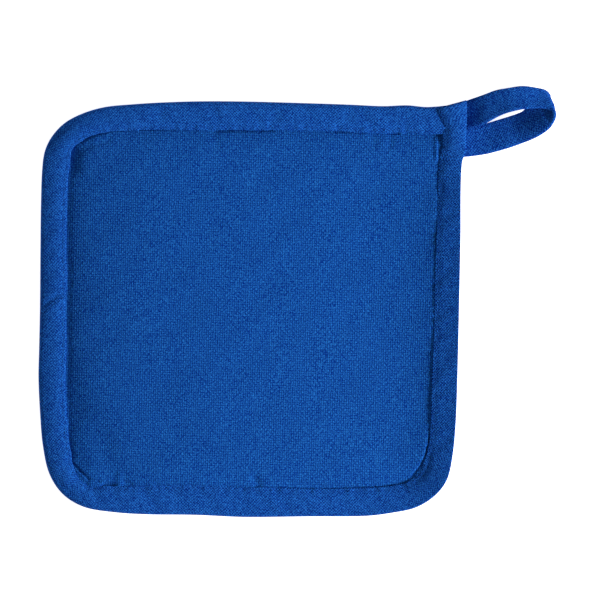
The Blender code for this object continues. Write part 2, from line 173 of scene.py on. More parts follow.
def curveAt(points, knots, where):  # a cubic curve through the points, and its direction
    slopes = np.empty_like(points)
    slopes[1:-1] = (points[2:] - points[:-2]) / (knots[2:] - knots[:-2])[:, None]
    slopes[0] = (points[1] - points[0]) / (knots[1] - knots[0])
    slopes[-1] = (points[-1] - points[-2]) / (knots[-1] - knots[-2])
    flat = np.asarray(where, float).ravel()
    span = np.clip(np.searchsorted(knots, flat, side="right") - 1, 0, len(knots) - 2)
    run = (knots[span + 1] - knots[span])[:, None]
    t = (flat - knots[span])[:, None] / run
    start, end = points[span], points[span + 1]
    startSlope, endSlope = slopes[span] * run, slopes[span + 1] * run
    place = ((2 * t**3 - 3 * t**2 + 1) * start + (t**3 - 2 * t**2 + t) * startSlope
             + (3 * t**2 - 2 * t**3) * end + (t**3 - t**2) * endSlope)
    direction = ((6 * t**2 - 6 * t) * (start - end) + (3 * t**2 - 4 * t + 1) * startSlope
                 + (3 * t**2 - 2 * t) * endSlope) / run
    shape = np.shape(where) + (-1,)
    return place.reshape(shape), direction.reshape(shape)


edgePoints = np.array([row[1:] for row in edgePlaces])
edgeKnots = chordLengths(edgePoints)
edgeLength = edgeKnots[-1]
alongOf = {row[0]: s for row, s in zip(edgePlaces, edgeKnots)}
sectionKnots = np.array([alongOf[row[0]] for row in sectionRows])
sectionValues = np.array([row[1:] for row in sectionRows])
seamKnots, seamWidths = (np.array(column) for column in zip(*seamLine))
openKnots, openShares = (np.array(column) for column in zip(*seamOpening))


def wander(along, wavelengths, seed):  # an uneven line: a few sines, their phases fixed by the seed
    phases = np.random.default_rng(seed).uniform(0.0, 2.0 * math.pi, len(wavelengths))
    waves = [np.sin(2.0 * math.pi * along / length + phase)
             for length, phase in zip(wavelengths, phases)]
    return sum(waves) / math.sqrt(len(wavelengths))


def sectionAt(along):
    along = np.clip(along, 0.0, edgeLength)
    values, _ = curveAt(sectionValues, sectionKnots, along)
    width, _ = curveAt(seamWidths[:, None], seamKnots, along)
    width = width[..., 0] + handSewing["sway"] * wander(along, handSewing["swayLengths"], 9)
    return Section(*np.moveaxis(np.maximum(values, 0.0), -1, 0), width)


def edgePlan(along, inset):  # plan position a distance in from the outer edge
    place, direction = curveAt(edgePoints, edgeKnots, along)
    tangent = direction / np.linalg.norm(direction, axis=-1, keepdims=True)
    return place[..., 0] - inset * tangent[..., 1], place[..., 1] + inset * tangent[..., 0]


def skinHeight(row, inset, side, deep=0.0):  # some way inside the upper (1) or the lower (-1) flap
    share = inset / row.width
    if side > 0:
        fall = (row.topSeam - row.topFold) * share
        return row.topFold + fall + 4.0 * row.roll * share * (1.0 - share) - deep
    return row.underFold + (row.underSeam - row.underFold) * inset / row.width + deep


def foldReach(row):  # the fold's depth in plan above and below its outermost line
    below = 0.5 * (row.topFold - row.underFold)
    return below * (1.0 - row.crisp), below


def foldPoint(row, angle, deep, room):  # (inset, height) round the fold, some way inside the skin
    above, below = foldReach(row)
    top, bottom = skinHeight(row, above, 1, deep), skinHeight(row, below, -1, deep)
    nose = row.underFold + row.nose * (row.topFold - row.underFold)
    nose = np.minimum(np.maximum(nose, bottom + room[0]), top - room[1])
    reach, half = (above, top - nose) if angle > 0.0 else (below, nose - bottom)
    return reach - (reach - deep) * math.cos(angle), nose + half * math.sin(angle)


def ease(share):
    share = np.clip(share, 0.0, 1.0)
    return share * share * (3.0 - 2.0 * share)


def bell(away, run):
    return np.exp(-(away / run) ** 2)


# creases and waviness

# Soft troughs (depth below zero) and ridges on the upper side, each along a short line.
creases = {
    "panel": [  # x, y, x, y, half width, depth
        (-106.6, -77.6, -103.3, -81, 0.55, -0.9),   # tuck inside the bottom left corner
        (-103.3, -81, -99.5, -84.8, 0.55, -1),
        (-99.5, -84.8, -94.1, -86, 0.6, -0.7),
        (-106.5, -80.5, -100.5, -86.5, 1.3, -0.5),
        (-91.6, -87.3, -88.4, -87.1, 1.1, -0.8),    # pit in the seam beside it
        (-84.6, -82, -84.4, -88, 0.9, 0.5),         # small fold that catches the light
        (-82, -86.6, -79.4, -87.2, 1.1, -0.6),
        (-95, -62, -86.5, -88, 6, -0.6),            # broad hollows round that corner
        (-107, -44, -105.5, -74, 7.5, -0.7),
        (-20.2, -84.6, -18.6, -87.6, 1.8, -0.7),    # pit in the bottom seam
        (-5, -86.6, 12, -87.8, 1, -0.3),
        (-39, 81.2, -12, 81.2, 0.7, -0.6),          # where the top seam is drawn in
        (17, 80.9, 32, 80.5, 0.7, -0.6),
        (42, 80.1, 48, 80, 0.7, -0.7),
        (63.6, -60, 63.3, -66, 0.8, -0.7),          # and along the bottom right corner
        (63.3, -66, 62.2, -71.6, 0.9, -1),
        (62.2, -71.6, 59.6, -77.4, 0.7, -0.9),
        (59.6, -77.4, 55.2, -82.6, 0.6, -0.7),
        (44.6, 78, 44, 73, 1.3, -0.35),             # pulls below the top seam
        (36, 78.4, 36.8, 74.6, 1.5, -0.3),
        (-40, 79.6, -38, 74, 2.2, -0.3),
        (-107.4, 70.8, -106.8, 64, 3.6, -1.3),      # pocket inside the top left corner
        (-104.2, 71.4, -100.4, 74.4, 2.6, -0.65),
        (-98, 74.2, -90, 76.4, 1.6, -0.3),
        (66.3, 78.5, 66.4, 68, 0.8, 0.5),           # the panel's edge stands up at the crossing
        (67, -86, 67, 8, 14, 0.55),                 # and a little along the right side
    ],
    "tape": [
        (-121.5, -2.7, -114.3, 2.7, 1.2, -0.55),    # valley above the join
        (-120, -5.2, -110.5, 2, 1.4, 0.5),          # and the fold along it
        (63.6, -73.5, 62.4, -79, 0.65, -0.45),      # second line round the bottom right corner
        (62.4, -79, 60.2, -83, 0.65, -0.5),
        (60.2, -83, 56.2, -87, 0.65, -0.4),
        (64, 86, 68.5, 81.5, 1.6, 0.45),            # lump of the top tape at the inner corner
        (69.2, 54.6, 69, 52.6, 0.6, -0.5),          # slit beside the right seam
        (-118.4, 79.2, -109.2, 88, 2.8, -1.8),      # flattened outer side of the corners
        (-117.6, -84, -106.5, -96, 2.4, -1),
        (-113, 40, -118, 34, 2, -0.25),             # drag lines across the bias
        (-112, 62, -119, 56, 2.2, -0.25),
        (-113, -30, -119, -36, 2.2, -0.25),
        (-70, 83, -64, 90, 2.4, -0.25),
        (-34, 84, -37, 93, 1.2, 0.25),
        (-14, 82, -9, 90, 2.4, -0.22),
        (20, 81, 25, 89, 2.4, -0.22),
        (-60, -90, -54, -98, 2.4, -0.25),
        (-10, -90, -4, -99, 2.4, -0.25),
        (30, -90, 35, -98, 2.4, -0.25),
    ],
}


def creaseHeight(x, y, table):
    height = np.zeros_like(x)
    for startX, startY, endX, endY, width, depth in table:
        run = np.array((endX - startX, endY - startY))
        share = ((x - startX) * run[0] + (y - startY) * run[1]) / (run @ run)
        share = np.clip(share, 0.0, 1.0)
        away = np.hypot(x - startX - share * run[0], y - startY - share * run[1])
        height += depth * bell(away, width)
    return height


# meshes from rings of points

def newObject(name, data):
    made = bpy.data.objects.new(name, data)
    scene.collection.objects.link(made)
    return made


def ringMesh(name, rings, material, capped=True, uv=None):  # its faces always point outwards
    rows, size = rings.shape[:2]
    index = np.arange(rows * size).reshape(rows, size)
    following = np.roll(index, -1, axis=1)
    faces = np.stack((index[:-1], following[:-1], following[1:], index[1:]), axis=-1).reshape(-1, 4)
    faces = faces.tolist()
    if capped:  # across the thickness, from skin to skin
        for ring, way in ((index[0], 1), (index[-1], -1)):
            one, other = ring[:size // 2], ring[:size // 2 - 1:-1]
            faces += np.stack((one[:-1], other[:-1], other[1:], one[1:])[::way], axis=-1).tolist()
    points = rings.reshape(-1, 3) * mm
    mesh = bpy.data.meshes.new(name)
    mesh.from_pydata(points.tolist(), [], faces)
    work = bmesh.new()
    work.from_mesh(mesh)
    if work.calc_volume(signed=True) < 0.0:
        mesh.flip_normals()
    work.free()
    mesh.shade_smooth()
    if uv is not None:
        layer = mesh.uv_layers.new(name="cloth")
        corner = np.empty(len(mesh.loops), int)
        mesh.loops.foreach_get("vertex_index", corner)
        layer.data.foreach_set("uv", (uv.reshape(-1, 2)[corner] * mm).astype(np.float32).ravel())
    mesh.materials.append(material)
    return newObject(name, mesh)


def plyMesh(name, skins, uv, material):  # one ply of cloth, closed round its two skins
    ring, ringUv = (np.concatenate((one, other[:, ::-1]), axis=1)
                    for one, other in (skins, (uv, uv)))
    return ringMesh(name, ring, material, uv=ringUv)


# materials

def linear(hexColour):
    values = [int(hexColour[i:i + 2], 16) / 255.0 for i in (1, 3, 5)]
    return tuple(v / 12.92 if v <= 0.04045 else ((v + 0.055) / 1.055) ** 2.4 for v in values) + (1.0,)


def fillInputs(node, values):  # numbers or sockets, listed in order or named
    for key, value in (values.items() if isinstance(values, dict) else enumerate(values)):
        if isinstance(value, bpy.types.NodeSocket):
            node.id_data.links.new(value, node.inputs[key])
        else:
            node.inputs[key].default_value = value


def addNode(tree, kind, values=(), out=0, **settings):
    families = ("ShaderNode", "GeometryNode", "FunctionNode", "Node")
    family = next(f for f in families if hasattr(bpy.types, f + kind))
    node = tree.nodes.new(family + kind)
    for key, value in settings.items():
        setattr(node, key, value)
    fillInputs(node, values)
    return node.outputs[out] if len(node.outputs) else node


def newMaterial(name):
    material = bpy.data.materials.new(name)
    material.use_nodes = True
    tree = material.node_tree
    return material, tree.nodes["Principled BSDF"], partial(addNode, tree)


def wovenCotton(name, cloth):
    material, shader, add = newMaterial(name)
    place = add("TexCoord", out="UV" if cloth["onUv"] else "Object")
    turn = (0.0, 0.0, math.radians(cloth["grain"]))
    grain = add("Mapping", {"Vector": place, "Rotation": turn, "Scale": (1.0 / mm,) * 3,
                            "Location": (0.0, 0.0, cloth["noiseLevel"])})

    # threads don't run quite straight
    bend = {"Vector": grain, "Scale": 1.0 / cloth["bendLength"], "Detail": 2.0}
    bend = add("TexNoise", bend, out="Color")
    bend = add("VectorMath", (bend, (0.5, 0.5, 0.5)), operation="SUBTRACT")
    bend = add("VectorMath", {0: bend, "Scale": cloth["bend"]}, operation="SCALE")
    bent = add("VectorMath", (grain, bend), operation="ADD")
    alongWeft = add("SeparateXYZ", (bent,))
    alongWarp = alongWeft.node.outputs[1]
    warps = add("Math", (alongWeft, cloth["warpPitch"]), operation="DIVIDE")
    wefts = add("Math", (alongWarp, cloth["weftPitch"]), operation="DIVIDE")

    # plain weave: at each crossing the warp or the weft lies on top by turns
    warp = add("Math", (warps,), operation="FLOOR")
    weft = add("Math", (wefts,), operation="FLOOR")
    count = add("Math", (warp, weft), operation="ADD")
    warpOnTop = add("Math", (count, 2.0), operation="FLOORED_MODULO")
    heights, slubs = [], []
    for own, ownPlace, other, run, lift, seed in (
            (weft, wefts, (warps, warp), alongWeft, cloth["weftLift"], 3.0),
            (warp, warps, (wefts, weft), alongWarp, 1.0, 11.0)):
        across = add("Math", (ownPlace, own), operation="SUBTRACT")
        across = add("Math", (across, 0.5), operation="SUBTRACT")
        profile = add("Math", (across, across), operation="MULTIPLY")
        profile = add("Math", (profile, -cloth["round"], 1.0), operation="MULTIPLY_ADD")
        along = add("Math", other, operation="SUBTRACT")
        along = add("Math", (along, math.pi, -0.5 * math.pi), operation="MULTIPLY_ADD")
        arch = add("Math", (along,), operation="COSINE")
        arch = add("Math", (arch, cloth["arch"] * lift, (1.0 - cloth["arch"]) * lift),
                   operation="MULTIPLY_ADD")
        heights.append(add("Math", (profile, arch), operation="MULTIPLY"))
        # each thread is thicker and paler in places
        line = add("Math", (own, cloth["slubApart"]), operation="MULTIPLY")
        run = add("Math", (run, cloth["slubLength"]), operation="DIVIDE")
        where = add("CombineXYZ", (line, run, seed))
        slubs.append(add("TexNoise", {"Vector": where, "Scale": 1.0, "Detail": 1.0}))
    height, slub = (add("Mix", {0: warpOnTop, 2: ofWeft, 3: ofWarp}, data_type="FLOAT")
                    for ofWeft, ofWarp in (heights, slubs))

    # the fibres' fuzz takes the light unevenly, and the dye is uneven
    # the weave's height is painted into the colour: a highlight on the thread crowns, shade in the gaps
    patterns = [(height, 0.55, cloth["paintedWeaveShade"]), (slub, 0.5, cloth["slubDepth"])]
    for part, detail in (("grain", 1.0), ("patch", 2.0)):
        spots = {"Vector": grain, "Scale": 1.0 / cloth[part + "Size"], "Detail": detail}
        patterns.append((add("TexNoise", spots), 0.5, cloth[part + "Depth"]))
    tone = cloth["tone"]
    for pattern, middle, depth in patterns:  # each added round its middle value
        part = add("Math", (pattern, depth, -middle * depth), operation="MULTIPLY_ADD")
        tone = add("Math", (tone, part), operation="ADD")

    # a few pale fibre ends
    fleck = add("TexNoise", {"Vector": grain, "Scale": 1.0 / cloth["fleckSize"], "Detail": 0.0})
    fleck = add("Math", (fleck, cloth["fleckFrom"]), operation="SUBTRACT")
    fleck = add("Math", (fleck, 0.0), operation="MAXIMUM")
    tone = add("Math", (fleck, cloth["fleckGain"], tone), operation="MULTIPLY_ADD")
    # the dark end is painted gap shade and dark dye, the pale end painted crown highlight and pale dye
    ends = {6: linear(cloth["gapShadeAndDarkDye"]), 7: linear(cloth["crownHighlightAndPaleDye"])}
    colour = add("Mix", {0: tone, **ends}, out=2, data_type="RGBA")
    relief = add("Math", (slub, cloth["slubRelief"]), operation="MULTIPLY")
    relief = add("Math", (height, cloth["threadRelief"], relief), operation="MULTIPLY_ADD")
    bump = add("Bump", {"Strength": 1.0, "Distance": mm, "Height": relief})
    fillInputs(shader, {"Base Color": colour, "Normal": bump, **cloth["shader"]})
    return material


def sewingThread(name, thread):
    material, shader, add = newMaterial(name)
    place = add("TexCoord", out="Object")
    tone = add("TexNoise", {"Vector": place, "Scale": 1.0 / (thread["toneLength"] * mm)})
    ends = {6: linear(thread["dark"]), 7: linear(thread["light"])}
    colour = add("Mix", {0: tone, **ends}, out=2, data_type="RGBA")
    fillInputs(shader, {"Base Color": colour, **thread["shader"]})
    return material


# Dyed cotton in a plain weave: matt, a little fuzzy. The threads and gaps show as fine grain, with a
# painted highlight on the thread crowns and painted shade in the gaps. The real thread spacing is
# 0.85 mm, drawn at 1.07 mm so that it still shows in the render.
clothLook = {
    "onUv": False,
    "grain": 1.5, "noiseLevel": 0.3,        # how the weave is turned, and the noise's height
    "gapShadeAndDarkDye": "#00267c", "crownHighlightAndPaleDye": "#1f68b8", "tone": 0.41,
    "warpPitch": 1.07, "weftPitch": 1.15,
    "round": 3.3, "arch": 0.35, "weftLift": 0.72,
    "bend": 0.9, "bendLength": 9.0,
    "paintedWeaveShade": 0.84,
    "slubLength": 2.6, "slubDepth": 0.58,
    "slubApart": 7.31,         # so that neighbouring threads don't thicken side by side
    "grainSize": 0.52, "grainDepth": 2.35,  # fuzz
    "patchSize": 12.0, "patchDepth": 0.05,  # uneven dye
    "fleckSize": 0.75, "fleckFrom": 0.7, "fleckGain": 3.0,
    "threadRelief": 0.16, "slubRelief": 0.08,
    "shader": {"Roughness": 0.95, "Specular IOR Level": 0.04, "Sheen Weight": 0.02,
               "Sheen Roughness": 0.5, "Sheen Tint": linear("#5f92e6")},
}
# The tape is the same cloth cut at 45 degrees, its weave loosened by the folding.
tapeLook = {
    **clothLook, "onUv": True, "grain": 45.0, "warpPitch": 1.0, "weftPitch": 1.02, "weftLift": 0.9,
    "gapShadeAndDarkDye": "#002176", "crownHighlightAndPaleDye": "#226cc6", "tone": 0.35, "paintedWeaveShade": 0.9,
    "slubDepth": 0.3, "grainSize": 0.5, "grainDepth": 2.3, "patchSize": 7.0, "patchDepth": 0.12,
}
# The strap is that tape folded again and pressed flat, its weave's painted shading weaker, and painted
# darker as shade over the loop.
shadedStrapLook = {**tapeLook, "tone": 0.27, "paintedWeaveShade": 0.8}
panelCotton = wovenCotton("royal blue plain weave cotton", clothLook)
tapeCotton = wovenCotton("royal blue bias tape cotton", tapeLook)
shadedStrapCotton = wovenCotton("royal blue folded strap cotton with painted shade", shadedStrapLook)
# Spun polyester in the cloth's own blue: matt, seen only as short lines in the seams.
threadLook = {"toneLength": 0.5, "dark": "#07327e", "light": "#1a56a8",
              "shader": {"Roughness": 0.8, "Specular IOR Level": 0.1}}
blueThread = sewingThread("blue polyester sewing thread", threadLook)
print("materials made")


# bias tape: one ply folded round the edge, its raw edges turned in

tape = {
    "ply": 0.42,
    "hemPitch": 0.46,          # from the middle of one ply to the middle of the next
    "hemStart": 0.8,           # the raw edge stops this far in from the fold's roundness
    "foldRoom": (0.2, 0.15),   # least height left below and above the outermost line
    "spacing": 1.25,           # of sections along the edge
    "joinSlant": 0.77, "joinFade": 24.0,    # the diagonal join, and how far its slant carries on
    "joinOverlap": 0.15, "joinShift": 3.6,
    "endSlant": 0.24, "endFade": 16.0,
    "startInset": 4.4,
    "seamFrom": 8.0, "seamGap": 1.0, "seamEnd": 2.0, "seamStep": 1.0,   # bare at the tapes' ends
    "plainStart": 14.0, "plainFade": 10.0, "plainEnd": 12.0,     # kept plain where the tapes cross
    "stitchInset": 1.3,        # of the seam from the tape's inner edge
    "stitchPull": 0.22, "pullRun": 0.9,     # how far the seam draws the tape down
    "pullRange": (0.6, 0.8),   # share of it everywhere, and more where the cloth is drawn in
    "stitchRise": 0.2, "riseRun": 0.7,      # and up, on the underside
    "wave": 0.14, "waveLengths": (41.0, 23.0, 13.7, 9.1), "waveSlant": 0.8,
    "pucker": 0.16, "puckerLengths": (7.9, 5.3, 4.1, 3.3), "puckerRun": 3.5,
    "puckerContrast": 1.4,
    "pressed": 0.3, "pressedRun": 1.2,      # how far the edge is pressed in at a flush seam
}
joinAlong = alongOf["tape join"] + tape["joinShift"]


def slanted(along, across):
    nearJoin = 1.0 - ease(np.abs(along - joinAlong) / tape["joinFade"])
    nearEnd = 1.0 - ease((edgeLength - along) / tape["endFade"])
    joinShift, endShift = tape["joinSlant"] * across, tape["endSlant"] * np.abs(across)
    return along - joinShift * nearJoin - endShift * nearEnd


def seamPull(along):  # how hard the sewing draws the cloth in, from place to place
    return 0.5 + 0.5 * np.tanh(tape["puckerContrast"] * wander(along, tape["puckerLengths"], 5))


def seamOpen(along):
    return np.interp(along, openKnots, openShares)


def tapeRelief(along, inset, row, x, y):  # what is added to the upper flap's height
    share, toSeam = inset / row.width, row.width - inset
    body = np.clip(4.0 * share * (1.0 - share), 0.0, 1.0)
    wave = tape["wave"] * wander(along + tape["waveSlant"] * inset, tape["waveLengths"], 2) * body
    pucker = tape["pucker"] * wander(along, tape["puckerLengths"], 3)
    pucker = pucker * bell(toSeam, tape["puckerRun"])
    least, more = tape["pullRange"]
    pull = tape["stitchPull"] * (least + more * seamPull(along))
    pulled = -pull * bell(toSeam - tape["stitchInset"], tape["pullRun"])
    pulled = pulled - tape["pressed"] * (1.0 - seamOpen(along)) * bell(toSeam, tape["pressedRun"])
    afterStart = ease((along - tape["plainStart"]) / tape["plainFade"])
    beforeEnd = ease((edgeLength - along) / tape["plainEnd"])
    crease = creaseHeight(x, y, creases["tape"]) * afterStart
    return (wave + pucker) * afterStart * beforeEnd + pulled + crease


def stitchRise(inset, row):
    return tape["stitchRise"] * bell(row.width - inset - tape["stitchInset"], tape["riseRun"])


def tapePath(row, kind, value):  # (inset, height, side) of one point of the ply's middle line
    deep, turn = 0.5 * tape["ply"], 0.5 * tape["hemPitch"]
    if kind == "fold":
        inset, height = foldPoint(row, value, deep, tape["foldRoom"])
        return inset, height, math.copysign(1.0, value)
    above, below = foldReach(row)
    start, side = (above, 1.0) if kind.startswith("upper") else (below, -1.0)
    if kind.endswith("turn"):
        middle = skinHeight(row, row.width, side, deep) - side * turn
        return row.width - turn + turn * math.cos(value), middle + turn * math.sin(value), side
    if kind.endswith("hem"):
        inset = start + tape["hemStart"] + (row.width - turn - start - tape["hemStart"]) * value
        return inset, skinHeight(row, inset, side, deep) - side * tape["hemPitch"], side
    inset = start + (row.width - turn - start) * value
    return inset, skinHeight(row, inset, side, deep), side


def angles(*degrees):
    return [math.radians(a) for a in degrees]


# the way round the ply, from one raw edge to the other: which part of it, and how far along that
pathPoints = ([("upper hem", v) for v in (0.0, 0.5, 1.0)]
              + [("upper turn", v) for v in angles(-45, 0, 45)]
              + [("upper", v) for v in (1, 0.93, 0.86, 0.79)]
              + [("upper", v) for v in (0.7, 0.6, 0.5, 0.4, 0.3, 0.2, 0.1, 0.02, 0)]
              + [("fold", v) for v in angles(75, 56, 38, 20, 1, -20, -40, -60, -78)]
              + [("lower", v) for v in (0.0, 0.3, 0.6, 0.82, 1.0)]
              + [("lower turn", v) for v in angles(-45, 0, 45)]
              + [("lower hem", v) for v in (1.0, 0.4, 0.0)])


def tapeStrip(name, first, last):  # from one place along the edge to another
    along = np.linspace(first, last, math.ceil((last - first) / tape["spacing"]) + 1)
    row = sectionAt(along)
    line = []
    for kind, value in pathPoints:
        inset, _, side = tapePath(row, kind, value)
        there = slanted(along, side * (inset - 0.5 * tape["ply"]))
        thereRow = sectionAt(there)
        inset, height, side = tapePath(thereRow, kind, value)
        x, y = edgePlan(there, inset)
        if side > 0.0:
            onFlap = ease(inset / (1.0 + foldReach(thereRow)[0]))
            height = height + tapeRelief(there, inset, thereRow, x, y) * onFlap
        else:
            height = height + stitchRise(inset, thereRow)
        line.append((there, inset, height))
    there, inset, height = (np.stack(values, axis=1) for values in zip(*line))
    stepIn, stepUp = np.gradient(inset, axis=1), np.gradient(height, axis=1)
    size = np.hypot(stepIn, stepUp)
    outIn, outUp = -stepUp / size, stepIn / size           # across the ply, in the section's plane
    across = np.cumsum(np.hypot(np.diff(inset, axis=1, prepend=inset[:, :1]),
                                np.diff(height, axis=1, prepend=height[:, :1])), axis=1)
    skins = []
    for way in (0.5, -0.5):
        x, y = edgePlan(there, inset + way * tape["ply"] * outIn)
        z = np.maximum(height + way * tape["ply"] * outUp, 0.0)
        skins.append(np.stack((x, y, z), axis=-1))
    piece = plyMesh(name, skins, np.stack((there, across), axis=-1), tapeCotton)
    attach(piece, "root")
    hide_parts(name.replace("Cloth", ""))


# a row of lockstitches, laid by Geometry Nodes along a line of points

sewing = {
    "Pitch": 2.5 * mm, "Length": 2.0 * mm, "Thickness": 0.34 * mm,
    "Unevenness": 0.12, "Seed": 7,
}


def stitchTree():
    tree = bpy.data.node_groups.new("row of stitches", "GeometryNodeTree")
    add = partial(addNode, tree)
    tree.interface.new_socket("Line", in_out="INPUT", socket_type="NodeSocketGeometry")
    for name, value in sewing.items():
        kind = "NodeSocketInt" if isinstance(value, int) else "NodeSocketFloat"
        tree.interface.new_socket(name, in_out="INPUT", socket_type=kind).default_value = value
    tree.interface.new_socket("Thread", in_out="INPUT", socket_type="NodeSocketMaterial")
    tree.interface.new_socket("Stitches", in_out="OUTPUT", socket_type="NodeSocketGeometry")
    given = add("GroupInput").node.outputs
    line = add("MeshToCurve", (given["Line"],))
    line = add("ResampleCurve", {"Curve": line, "Length": given["Pitch"]}, mode="LENGTH")
    slant = add("RandomValue", {0: (-1.0,) * 3, 1: (1.0,) * 3, "Seed": given["Seed"]},
                data_type="FLOAT_VECTOR")
    slant = add("VectorMath", {0: slant, "Scale": given["Unevenness"]}, operation="SCALE")
    way = add("VectorMath", (add("InputTangent"), slant), operation="ADD")
    turn = add("AlignRotationToVector", {"Vector": way}, axis="X")
    size = add("CombineXYZ", (given["Length"], given["Thickness"], given["Thickness"]))
    stitch = add("MeshUVSphere", {"Segments": 6, "Rings": 5, "Radius": 0.5})
    stitches = add("InstanceOnPoints", {"Points": line, "Instance": stitch, "Rotation": turn,
                                        "Scale": size})
    stitches = add("RealizeInstances", (stitches,))
    stitches = add("SetShadeSmooth", (stitches,))
    stitches = add("SetMaterial", {"Geometry": stitches, "Material": given["Thread"]})
    add("GroupOutput", (stitches,))
    return tree


stitchNodes = stitchTree()


def sew(name, lines):  # the lines are rows of points in millimetres
    ends = np.cumsum([len(line) for line in lines])
    points = np.concatenate(lines) * mm
    points[:, 2] = np.maximum(points[:, 2], 0.5 * sewing["Thickness"])     # none below the table
    mesh = bpy.data.meshes.new("sewing line")
    edges = [(i, i + 1) for i in range(len(points) - 1) if i + 1 not in ends]
    mesh.from_pydata(points.tolist(), edges, [])
    piece = newObject(name, mesh)
    stitches = piece.modifiers.new("stitches", "NODES")
    stitches.node_group = stitchNodes
    for item in stitchNodes.interface.items_tree:
        if item.in_out == "INPUT" and item.name != "Line":
            stitches[item.identifier] = blueThread if item.name == "Thread" else sewing[item.name]
    bpy.context.view_layer.update()
    whole = piece.evaluated_get(bpy.context.evaluated_depsgraph_get())
    sewn = bpy.data.meshes.new_from_object(whole)
    piece.modifiers.remove(stitches)
    piece.data = sewn
    bpy.data.meshes.remove(mesh)
    sewn.name = name
    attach(piece, "root")


def seamOn(first, last, side):  # the sewing line on a tape's upper (1) or lower (-1) flap
    along = np.arange(first, last, tape["seamStep"])
    along = slanted(along, side * (sectionAt(along).width - tape["stitchInset"]))
    row = sectionAt(along)
    inset = row.width - tape["stitchInset"]
    x, y = edgePlan(along, inset)
    rise = tapeRelief(along, inset, row, x, y) if side > 0 else stitchRise(inset, row)
    return np.column_stack((x, y, skinHeight(row, inset, side) + rise))


tapeStrip("top_tapeCloth", tape["startInset"], joinAlong + tape["joinOverlap"])
tapeStrip("side_tapeCloth", joinAlong - tape["joinOverlap"], edgeLength)
for sewnName, first, last in (
        ("top_tapeStitches", tape["startInset"] + tape["seamFrom"], joinAlong - tape["seamGap"]),
        ("side_tapeStitches", joinAlong + tape["seamGap"], edgeLength - tape["seamEnd"])):
    sew(sewnName, [seamOn(first, last, side) for side in (1, -1)])
print("bias tape folded round the edge and sewn")


# the filled pad

pad = {
    "centre": (-22.5, -4.0),
    "middleHeight": 8.1, "seamHeight": 3.6,
    "leftSeam": -110.0, "rightSeam": 66.5, "topSeam": 81.5, "bottomSeam": -88.5,
    "leftPull": ((0.5, 5.0), (0.5, 20.0)),      # shares of the height lost at the seam, their runs
    "endPull": ((0.42, 5.0), (0.25, 16.0)),     # and at the top and bottom seams
    "leanFrom": -60.0, "lean": 0.026, "leanSoft": 10.0,     # it sinks a little towards the right
    "standing": 3.4, "standingRun": 12.5,       # and stands up along the right side's tape
    "standingTop": 78.0, "standingFade": 45.0, "standingFoot": 7.0,
    "lift": (66.0, 72.0, 0.6, 14.0),            # a swelling by the crossing: x, y, height, run
    "clear": 1.0,              # the pad's skin lies this far inside the tape's
    "trim": 0.2,               # and at the fold this much further
    "foldRoom": (0.2, 0.2),
    "undersideRise": 4.0, "undersideBend": 1.3,     # run and roundness of the underside's edge
    "ledge": 0.1, "flush": 0.3,     # the panel starts beside an open seam, or under the tape
    "cornerRounding": 3.0, "cornerDrop": 2.1, "cornerRun": 40.0, "cornerSteps": 7,
    "spacing": 1.25,
    "riseShares": (0.0, 0.05, 0.11, 0.18, 0.26, 0.35, 0.45, 0.56, 0.68, 0.8, 0.9, 1.0),
    "riseOpen": 2.5, "riseFlush": 16.0,         # how steeply the panel rises from either seam
    "innerRings": 58, "innerGrowth": 1.7, "innerEnd": 0.002,
    "evenOver": 12, "evenFade": 12.0,           # the inner rings are more even than the edge
    "underShares": (0.3, 0.7, 0.92),
    "undulation": 0.13, "undulationLengths": (61.0, 43.0, 34.0, 27.0, 19.0), "undulationFade": 1.6,
    "pucker": 0.3, "puckerRun": 5.0, "puckerLevel": 0.35,
    "puckerFlush": 0.3,        # share of the pucker that is left at a flush seam
    "puckerFade": 8.0, "puckerEdge": 0.3, "puckerFrom": 30.0,
}


def crown(x, y):  # the panel's swelling, drawn down towards each seam
    level = 1.0
    for away, pulls in ((x - pad["leftSeam"], pad["leftPull"]), (pad["topSeam"] - y, pad["endPull"]),
                        (y - pad["bottomSeam"], pad["endPull"])):
        away = np.maximum(away, 0.0)
        level = level * (1.0 - sum(share * np.exp(-away / run) for share, run in pulls))
    height = pad["seamHeight"] + (pad["middleHeight"] - pad["seamHeight"]) * level
    soft = pad["leanSoft"]
    height = height - pad["lean"] * np.logaddexp(0.0, (x - pad["leanFrom"]) / soft) * soft
    beside = np.exp(-np.maximum(pad["rightSeam"] - x, 0.0) / pad["standingRun"])
    below = ease((pad["standingTop"] - y) / pad["standingFade"])
    bottom = 1.0 - np.exp(-np.maximum(y - pad["bottomSeam"], 0.0) / pad["standingFoot"])
    height = height + pad["standing"] * beside * below * bottom
    liftX, liftY, lift, run = pad["lift"]
    return height + lift * np.exp(-((x - liftX) ** 2 + (y - liftY) ** 2) / run ** 2)


padProfile = ([("under", v) for v in (2.2, 1.0, 0.62, 0.3)] + [("under ledge", 0.0)]
              + [("lower", v) for v in (1.0, 0.5, 0.0)]
              + [("fold", v) for v in angles(-50, 0, 50)]
              + [("upper", v) for v in (0.0, 0.35, 0.7, 1.0)]
              + [("rise", v) for v in pad["riseShares"]])


def padPoint(row, kind, value):  # (inset, height) on the pad's skin
    deep = pad["clear"] + row.tucked
    if kind == "under":
        left = (1.0 - min(value, 1.0)) ** pad["undersideBend"]
        height = skinHeight(row, row.width, -1, deep) * left
        return row.width + pad["ledge"] + pad["undersideRise"] * value, height
    if kind == "under ledge":
        return row.width + pad["ledge"], skinHeight(row, row.width, -1, deep)
    if kind == "fold":
        inset, height = foldPoint(row, value, deep, pad["foldRoom"])
        return inset - row.tucked + pad["trim"], height
    if kind == "rise":
        return row.width + row.rise * value, skinHeight(row, row.width, 1, deep)
    above, below = foldReach(row)
    reach, side = (above + deep, 1) if kind == "upper" else (below, -1)
    inset = reach + (row.width - reach) * value
    return inset, skinHeight(row, inset, side, deep)


